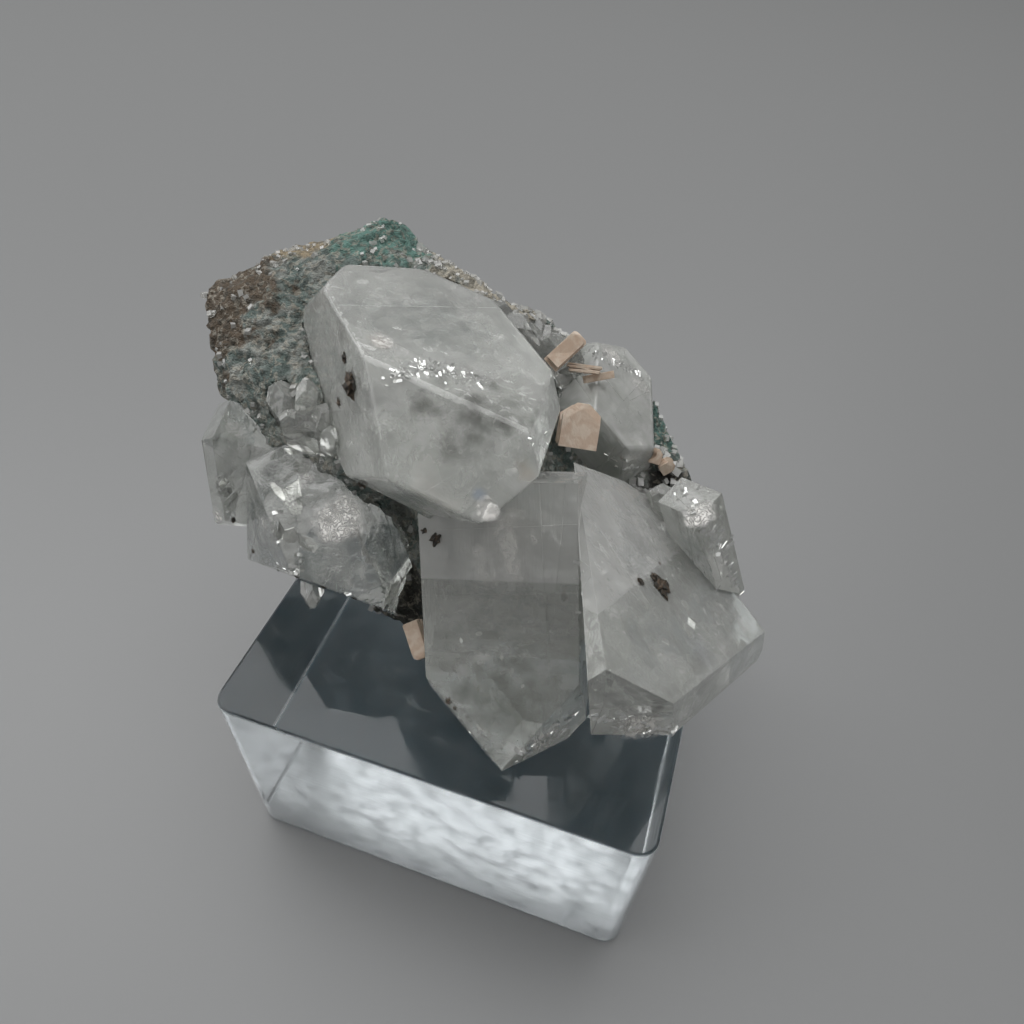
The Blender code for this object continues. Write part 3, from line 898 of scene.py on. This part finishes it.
# %% Pearly patches
def pearl_sheen_paint(name, place, pearl):
    """Silky white within a ragged patch, drawn in contour lines, and nothing elsewhere; the white is partly
    painted sheen.
    """
    material, tree, shader = new_material(name)
    wide, stir = FILM_COVER * pearl.radius * MM, unrest(tree)
    patch = use_group(tree, spot_group, place=place, radius=wide, ragged=1.3, core=0.5, unrest=stir)["Mask"]
    stretched = {"Vector": position(tree), "Scale": (420.0, 420.0, 150.0)}
    drawn = make(tree, "Mapping", stretched).outputs["Vector"]
    hills = noise_of(tree, drawn, 1.0, 3.0, Roughness=0.45)
    contour = maths(tree, "SINE", maths(tree, "MULTIPLY", hills, float(pearl.contours)))
    flakes = use_group(tree, cloud_group, size=900.0, low=0.35, high=0.6)["Mask"]
    ridges = ramp(tree, contour, -0.8, 0.3, 0.3, 1.0)
    layered = maths(tree, "MULTIPLY", ridges, ramp(tree, flakes, 0.0, 1.0, 0.5, 1.0))
    share = maths(tree, "MULTIPLY", patch, maths(tree, "MULTIPLY", layered, pearl.shine))
    bump = bumped(tree, contour, 0.8, 0.08 * MM)
    connect(
        tree, shader, Base_Color=(0.95, 0.93, 0.9, 1), Metallic=0.1, Roughness=0.3, Normal=bump, Alpha=share,
    )
    return material


for number, pearl in enumerate(PEARLS):
    place, outward = seen_on(pearl.node, pearl.pixel)
    film_bm = bmesh.new()
    laid = facing_matrix(place + outward * FILM_HEIGHT, outward)
    wide = pearl.radius * MM
    bmesh.ops.create_circle(film_bm, cap_ends=True, segments=FILM_SIDES, radius=wide, matrix=laid)
    bmesh.ops.solidify(film_bm, geom=film_bm.faces, thickness=FILM_THICKNESS)
    name = f"pearly_patch_{number + 1}"
    add_piece(name, film_bm, pearl_sheen_paint(name, place, pearl))

# %% [markdown]
# ## The small crystals and crusts
# The druse at the left, the crusts and the single small crystals are the same mineral. Along the ridge, and
# wherever crystal meets rock, sit many crystals the size of sugar grains. They could be grown like the large
# ones, but each is a plain block here, because so small a crystal only needs faces that flash.

# %% Small crystals
SMALL_WEAR = 0.07 * MM
SMALL_EDGES = math.radians(20)
SMALL = ["left_druse", "ridge_crust", "back_druse", "pocket_crystal", "seam_crystal"]
crust_finish = apophyllite("crust_apophyllite", direction(0, 90), 0.2, line_depth=0.3, frost=0.2)
for name in SMALL:
    small = solid_copy(name)
    soften(small, SMALL_WEAR, angle=SMALL_EDGES)
    slot = "apophyllite" if "crystal" in name else "apophyllite_crust"
    add_piece(name + "_grown", small, crust_finish, [name])

# %% Where the sugar grains are
Sugar = namedtuple("Sugar", "pixel radius chance size")
SUGAR = [
    Sugar((440, 255), 6, 0.9, 0.5),
    Sugar((470, 272), 7, 0.95, 0.6),
    Sugar((525, 310), 6, 0.95, 0.7),
    Sugar((215, 315), 7, 0.2, 0.5),
    Sugar((385, 240), 6, 0.25, 0.4),
    Sugar((500, 295), 7, 0.95, 0.7),
    Sugar((550, 325), 5, 0.95, 0.7),
    Sugar((600, 345), 5, 0.8, 0.6),
    Sugar((290, 252), 6, 0.5, 0.4),
    Sugar((225, 380), 6, 0.3, 0.4),
    Sugar((300, 400), 5, 0.6, 0.5),
    Sugar((320, 450), 5, 0.6, 0.5),
    Sugar((590, 440), 5, 0.7, 0.7),
    Sugar((650, 480), 5, 0.9, 0.8),
    Sugar((680, 470), 4, 0.7, 0.7),
    Sugar((360, 610), 4, 0.5, 0.5),
]
SUGAR_ANYWHERE = 0.05
ROOT_REACH = 1.8 * MM
ROOT_CHANCE = 0.3
ROOT_SIZE = 0.5


def points_on(bm, count, chance):
    """Random places spread evenly over a mesh's faces, with the faces' directions."""
    faces = bm.faces[:]
    for face in chance.choices(faces, weights=[face.calc_area() for face in faces], k=count):
        first, second = sorted((chance.random(), chance.random()))
        corners = [vert.co for vert in face.verts[:3]]
        place = corners[0] * first + corners[1] * (second - first) + corners[2] * (1 - second)
        yield place, face.normal.copy()


def sugar_here(place, chance):
    """The size of a sugar crystal at a place on the rock, or nothing."""
    for sugar, centre in zip(SUGAR, sugar_centres):
        if (place - centre).length < sugar.radius * MM and chance.random() < sugar.chance:
            return sugar.size
    near_root = any(skins[growth.node].find_nearest(place, ROOT_REACH)[0] for growth in GROWTHS)
    return ROOT_SIZE if chance.random() < (ROOT_CHANCE if near_root else SUGAR_ANYWHERE) else 0.0


sugar_centres = [seen_on("matrix", sugar.pixel)[0] for sugar in SUGAR]
print("places rich in sugar grains:", len(sugar_centres))

# %% Sugar grains
SUGAR_TRIES = 7000
MOST_SUGAR = 2400
SUGAR_LOWEST = BLOCK_TOP + 1.5 * MM
sugar_finish = apophyllite(
    "sugar_apophyllite", direction(0, 90), 0.38, line_depth=0.2, frost=0.2, tint=(0.86, 0.86, 0.83),
    absorbs=False,
)
sugar_bm = bmesh.new()
rock_skin = bmesh.new()
rock_skin.from_mesh(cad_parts["matrix"].data)
bmesh.ops.triangulate(rock_skin, faces=rock_skin.faces)
chance = random.Random(5)
sugar_count = 0
for place, outward in points_on(rock_skin, SUGAR_TRIES, chance):
    size = sugar_here(place, chance)
    if not size or place.z < SUGAR_LOWEST or sugar_count >= MOST_SUGAR:
        continue
    grown = size * MM * chance.uniform(0.5, 1.5)
    angle, azimuth, elevation = chance.uniform(0, math.pi), chance.uniform(0, 360), chance.uniform(-90, 90)
    spun = Matrix.Rotation(angle, 4, direction(azimuth, elevation))
    scale = Matrix.Diagonal((grown, grown, grown * chance.uniform(0.8, 1.6), 1))
    bmesh.ops.create_cube(sugar_bm, size=1.0, matrix=Matrix.Translation(place) @ spun @ scale)
    sugar_count += 1
rock_skin.free()
print("sugar crystals:", sugar_count)
add_piece("sugar_crystals", sugar_bm, sugar_finish)

# %% [markdown]
# ## Stilbite
# The peach blades are stilbite: sheaves of thin plates with a pearly shine. Each solid could keep its flat
# sides, but here it is split into plates that lean a little from one another, with fine lines along them and
# two peach tones in patches.

# %% Stilbite finish
def stilbite():
    material, tree, shader = new_material("peach_stilbite")
    lay = {"Vector": position(tree), "Rotation": (0.6, 0.3, 0.9), "Scale": (3200.0, 3200.0, 420.0)}
    drawn = make(tree, "Mapping", lay).outputs["Vector"]
    plates = noise_of(tree, drawn, 1.0, 4.0)
    patches = use_group(tree, cloud_group, size=700.0, low=0.4, high=0.65)["Mask"]
    colour = mixed(tree, patches, (0.6, 0.45, 0.34, 1), (0.7, 0.58, 0.47, 1))
    bump = bumped(tree, plates, 0.6, 0.15 * MM)
    connect(
        tree, shader, Base_Color=colour, Metallic=0.0, Roughness=ramp(tree, plates, 0.3, 0.7, 0.28, 0.55),
        Transmission_Weight=0.12, IOR=1.5, Normal=bump, Coat_Weight=0.3, Coat_Roughness=0.2,
    )
    return material


stilbite_finish = stilbite()
print("stilbite finish:", stilbite_finish.name)

# %% Stilbite pieces
STILBITE = sorted(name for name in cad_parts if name.startswith("stilbite"))
SHEAF_PLATES = 6
SHEAF_SPLAY = math.radians(5)
PLATE_THICKNESS = 1.15
PLATE_WEAR = 0.08 * MM


def thin_way(bm):
    """The middle of a bmesh, the direction in which it is thinnest, and how thick it is that way."""
    middle = sum((vert.co for vert in bm.verts), Vector()) / len(bm.verts)
    ways = [face.normal for face in bm.faces]
    width = {
        number: max(vert.co.dot(way) for vert in bm.verts) - min(vert.co.dot(way) for vert in bm.verts)
        for number, way in enumerate(ways)
    }
    thinnest = min(width, key=width.get)
    return middle, ways[thinnest].copy(), width[thinnest]


for number, name in enumerate(STILBITE):
    chance = random.Random(number)
    solid = solid_copy(name)
    middle, thin, width = thin_way(solid)
    turn = facing_matrix(middle, thin)
    sheaf = bmesh.new()
    for plate in range(SHEAF_PLATES):
        part = solid.copy()
        soften(part, PLATE_WEAR, angle=SMALL_EDGES)
        high = (plate + 0.5) / SHEAF_PLATES - 0.5
        splay = Matrix.Rotation(chance.gauss(0, 1) * SHEAF_SPLAY, 4, direction(chance.uniform(0, 360), 0))
        length = chance.uniform(0.8, 1.0)
        flat = Matrix.Diagonal((length, length, PLATE_THICKNESS / SHEAF_PLATES, 1))
        shape = Matrix.Translation((0, 0, high * width)) @ splay @ flat
        part.transform(turn @ shape @ turn.inverted())
        plate_mesh = bpy.data.meshes.new("plate")
        part.to_mesh(plate_mesh)
        part.free()
        sheaf.from_mesh(plate_mesh)
        bpy.data.meshes.remove(plate_mesh)
    solid.free()
    add_piece(name + "_peach", sheaf, stilbite_finish, [name])

# %% [markdown]
# ## The rock
# The matrix is altered basalt: green-grey, with teal and brown patches, a pale crust along its top and many
# small broken grains. The solid has its lumps and ledges. The rest could all be left to the material, but a
# displaced, finer copy gives the broken surface that one can feel, and only grains and colours are left.

# %% Rock finish
Patch = namedtuple("Patch", "place radius ragged colour")
ROCK_PATCHES = [
    Patch((-46, 12, 66), 11, 2.2, (0.12, 0.09, 0.062)),
    Patch((-38, 24, 72), 6, 1.6, (0.36, 0.29, 0.19)),
    Patch((-27, 27, 75), 8, 1.8, (0.13, 0.25, 0.215)),
    Patch((-12, 29, 68), 10, 1.6, (0.5, 0.46, 0.38)),
    Patch((16, 25, 58), 8, 1.4, (0.11, 0.2, 0.175)),
    Patch((20, 14, 51), 4.5, 0.8, (0.03, 0.028, 0.024)),
    Patch((-12, -10, 39), 9, 1.0, (0.05, 0.05, 0.042)),
]


def rock():
    material, tree, shader = new_material("matrix_rock")
    grains = use_group(tree, grain_group, fineness=1500.0)
    coarse = use_group(tree, grain_group, fineness=620.0)
    patchy = use_group(tree, cloud_group, size=330.0, low=0.42, high=0.6)["Mask"]
    specks = use_group(tree, cloud_group, size=1100.0, low=0.52, high=0.6)["Mask"]
    colour = mixed(tree, patchy, (0.15, 0.195, 0.18, 1), (0.33, 0.345, 0.32, 1))
    stir = unrest(tree)
    for patch in ROCK_PATCHES:
        place = tuple(part * MM for part in patch.place)
        mask = use_group(
            tree, spot_group, place=place, radius=patch.radius * MM, ragged=patch.ragged, unrest=stir
        )["Mask"]
        colour = mixed(tree, mask, colour, (*patch.colour, 1))
    speckled = mixed(tree, maths(tree, "MULTIPLY", specks, 0.6), colour, (0.4, 0.37, 0.31, 1))
    toned = mixed(tree, ramp(tree, grains["Tone"], 0.3, 1.0, 0.0, 0.5), speckled, (0.03, 0.035, 0.03, 1))
    height = maths(tree, "ADD", maths(tree, "MULTIPLY", coarse["Height"], 1.6), grains["Height"])
    bump = bumped(tree, height, 0.9, 0.3 * MM)
    roughness = ramp(tree, grains["Shine"], 0.0, 0.5, 0.3, 0.85)
    connect(tree, shader, Base_Color=toned, Metallic=0.0, Roughness=roughness, Normal=bump)
    return material


rock_finish = rock()
print("patches of colour on the rock:", len(ROCK_PATCHES))

# %% Rock piece
ROCK_CUTS = 2
KNOB = 0.6 * MM
CHIP = 0.3 * MM
KNOBS_A_MM = 0.42
CHIPS_A_MM = (1.3, 2.9)
ROCK_LOWEST = BLOCK_TOP + 0.05 * MM


def broken(point):
    """How far broken rock stands out at a point: knobs with ridges between them, and small chips."""
    knobs = 1 - 2 * abs(noise.noise(point * KNOBS_A_MM * PER_MM))
    coarse, fine = (noise.noise(point * size * PER_MM) for size in CHIPS_A_MM)
    chips = coarse + 0.5 * fine
    return knobs * KNOB + chips * CHIP - 0.5 * KNOB


rock_bm = bmesh.new()
rock_bm.from_mesh(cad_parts["matrix"].data)
bmesh.ops.remove_doubles(rock_bm, verts=rock_bm.verts, dist=MERGE_WITHIN)
bmesh.ops.subdivide_edges(rock_bm, edges=rock_bm.edges, cuts=ROCK_CUTS, use_grid_fill=True)
rock_bm.normal_update()
for vert in rock_bm.verts:
    vert.co += vert.normal * broken(vert.co)
    vert.co.z = max(vert.co.z, ROCK_LOWEST)
add_piece("matrix_rock", rock_bm, rock_finish, ["matrix"])

# %% [markdown]
# ## Floor and light
# A plain pale floor and soft lamps, so that the object alone is judged. Glass shows what stands round it, so
# the world is a soft grey rather than black.

# %% Floor
FLOOR_HALF = 2.0
FLOOR_DROP = 0.0002


def floor_finish():
    material, tree, shader = new_material("floor")
    connect(tree, shader, Base_Color=(0.21, 0.213, 0.215, 1), Metallic=0.1, Roughness=0.45)
    return material


floor_bm = bmesh.new()
bmesh.ops.create_grid(floor_bm, x_segments=1, y_segments=1, size=FLOOR_HALF)
floor_mesh = bpy.data.meshes.new("floor")
floor_bm.to_mesh(floor_mesh)
floor_bm.free()
floor_mesh.materials.append(floor_finish())
floor = bpy.data.objects.new("floor", floor_mesh)
floor.location.z = -FLOOR_DROP
bpy.context.scene.collection.objects.link(floor)
floor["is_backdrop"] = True
print("floor, mm below the block:", FLOOR_DROP / MM)

# %% Light
Lamp = namedtuple("Lamp", "name place size energy")
AIM = Vector((0, 0, 50)) * MM
LAMPS = [
    Lamp("ceiling", Vector((-0.15, 0.3, 0.95)), 1.3, 11.0),
    Lamp("window", Vector((-0.8, -0.1, 0.5)), 0.9, 3.6),
    Lamp("fill", Vector((0.7, -0.5, 0.4)), 0.8, 1.2),
]
for lamp in LAMPS:
    light = bpy.data.lights.new(lamp.name, "AREA")
    light.size = lamp.size
    light.energy = lamp.energy
    holder = bpy.data.objects.new(lamp.name, light)
    holder.location = lamp.place
    holder.rotation_euler = (AIM - lamp.place).to_track_quat("-Z", "Y").to_euler()
    bpy.context.scene.collection.objects.link(holder)
print("lamps, watts:", {lamp.name: lamp.energy for lamp in LAMPS})

# %% World
world = bpy.data.worlds.new("studio")
bpy.context.scene.world = world
world.use_nodes = True
backdrop = world.node_tree.nodes["Background"]
backdrop.inputs["Color"].default_value = (0.27, 0.27, 0.265, 1)
backdrop.inputs["Strength"].default_value = 0.8
bpy.context.scene.view_settings.view_transform = "Standard"
print("world strength:", round(backdrop.inputs["Strength"].default_value, 2))

# %% Write the sizes and finish
low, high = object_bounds()
print("dressed specimen, mm:", [round((end - start) / MM, 1) for start, end in zip(low, high)])
